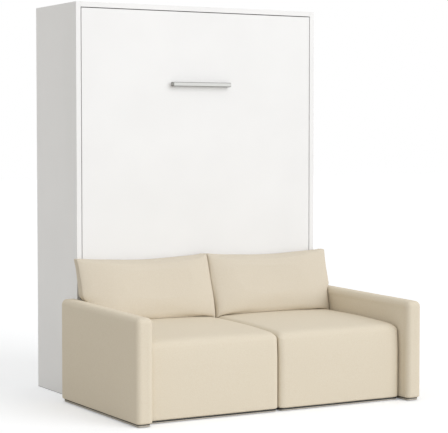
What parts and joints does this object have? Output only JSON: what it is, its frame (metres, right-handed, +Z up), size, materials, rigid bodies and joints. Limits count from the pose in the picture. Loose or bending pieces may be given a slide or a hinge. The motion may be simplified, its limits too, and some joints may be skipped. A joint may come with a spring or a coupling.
{
  "type": "wall bed with sofa",
  "caption": "Upright fold-down double bed in a white cabinet, its panel closed by a bar handle, with an upholstered two-seat sofa and loose back cushions in front.",
  "frame": {"origin": "middle of the footprint, on the floor", "axes": "+X to the right as someone facing the sofa sees it, +Y towards the wall, +Z up"},
  "size_m": [1.722, 1.483, 2.16],
  "materials": {
    "white_board": "satin",
    "upholstery": "matte",
    "mattress_ticking": "matte",
    "slat_wood": "satin",
    "grey_steel": "satin",
    "strut_black": "satin",
    "piston_rod": "polished",
    "handle_metal": "satin",
    "black_plastic": "matte",
    "black_rubber": "matte"
  },
  "bodies": {
    "root": {"side_panel_left": "white_board", "side_panel_right": "white_board", "top_panel": "white_board", "plinth_panel": "white_board", "floor_panel": "white_board", "back_panel": "white_board", "back_rail_top": "white_board", "back_rail_bottom": "white_board", "wall_bracket_left": "grey_steel", "wall_bracket_right": "grey_steel", "pivot_plate_left": "grey_steel", "pivot_plate_right": "grey_steel", "strut_bracket_left": "grey_steel", "strut_bracket_right": "grey_steel", "arm_left": "upholstery", "arm_right": "upholstery", "arm_base_left": "black_plastic", "arm_base_right": "black_plastic", "seat_left": "upholstery", "seat_right": "upholstery", "seat_base_left": "black_plastic", "seat_base_right": "black_plastic"},
    "bed": {"door_panel": "white_board", "handle": "handle_metal", "bed_rail_left": "grey_steel", "bed_rail_right": "grey_steel", "bed_rail_head": "grey_steel", "bed_rail_foot": "grey_steel", "slat_strip_left": "black_plastic", "slat_strip_right": "black_plastic", "slat_01": "slat_wood", "slat_02": "slat_wood", "slat_03": "slat_wood", "slat_04": "slat_wood", "slat_05": "slat_wood", "slat_06": "slat_wood", "slat_07": "slat_wood", "slat_08": "slat_wood", "slat_09": "slat_wood", "slat_10": "slat_wood", "bed_plate_left": "grey_steel", "bed_plate_right": "grey_steel", "pivot_bush_left": "black_plastic", "pivot_bush_right": "black_plastic", "arch_plate_left": "grey_steel", "arch_plate_right": "grey_steel", "mattress": "mattress_ticking"},
    "foot_arch": {"arch_leg_left": "grey_steel", "arch_leg_right": "grey_steel", "arch_tube": "grey_steel", "arch_foot_left": "black_rubber", "arch_foot_right": "black_rubber"},
    "barrel_left": {"strut_barrel_left": "strut_black"},
    "barrel_right": {"strut_barrel_right": "strut_black"},
    "rod_left": {"strut_rod_left": "piston_rod"},
    "rod_right": {"strut_rod_right": "piston_rod"},
    "back_cushion_left": {"cushion_left": "upholstery"},
    "back_cushion_right": {"cushion_right": "upholstery"}
  },
  "joints": [
    {"name": "bed_fold", "type": "hinge", "parent": "root", "child": "bed", "pos_m": [0, 0.2515, 0.51], "axis": [1, 0, 0], "range_deg": [0, 90]},
    {"name": "arch_fold", "type": "hinge", "parent": "bed", "child": "foot_arch", "pos_m": [0, 0.2775, 2.09], "axis": [1, 0, 0], "range_deg": [0, 244.74]},
    {"name": "barrel_swing_left", "type": "hinge", "parent": "root", "child": "barrel_left", "pos_m": [-0.718, 0.3915, 0.825], "axis": [1, 0, 0], "range_deg": [0, 15.95]},
    {"name": "rod_stroke_left", "type": "slide", "parent": "barrel_left", "child": "rod_left", "axis": [0, -0.2747, -0.9615], "range_m": [-0.16822, 0]},
    {"name": "barrel_swing_right", "type": "hinge", "parent": "root", "child": "barrel_right", "pos_m": [0.718, 0.3915, 0.825], "axis": [1, 0, 0], "range_deg": [0, 15.95]},
    {"name": "rod_stroke_right", "type": "slide", "parent": "barrel_right", "child": "rod_right", "axis": [0, -0.2747, -0.9615], "range_m": [-0.16822, 0]},
    {"name": "cushion_clear_left", "type": "hinge", "parent": "root", "child": "back_cushion_left", "pos_m": [-0.373, -0.3585, -0.036], "axis": [1, 0, 0], "range_deg": [0, 116.01]},
    {"name": "cushion_clear_right", "type": "hinge", "parent": "root", "child": "back_cushion_right", "pos_m": [0.373, -0.3585, -0.036], "axis": [1, 0, 0], "range_deg": [0, 116.01]}
  ],
  "couplings": [
    {"joint": "arch_fold", "follows": "bed_fold", "ratio": 2.7193},
    {"joint": "barrel_swing_left", "follows": "bed_fold", "ratio": 0.17717},
    {"joint": "rod_stroke_left", "follows": "bed_fold", "m_per_rad": -0.10708},
    {"joint": "barrel_swing_right", "follows": "bed_fold", "ratio": 0.17717},
    {"joint": "rod_stroke_right", "follows": "bed_fold", "m_per_rad": -0.10708},
    {"joint": "cushion_clear_left", "follows": "bed_fold", "ratio": 1.2889},
    {"joint": "cushion_clear_right", "follows": "bed_fold", "ratio": 1.2889}
  ]
}
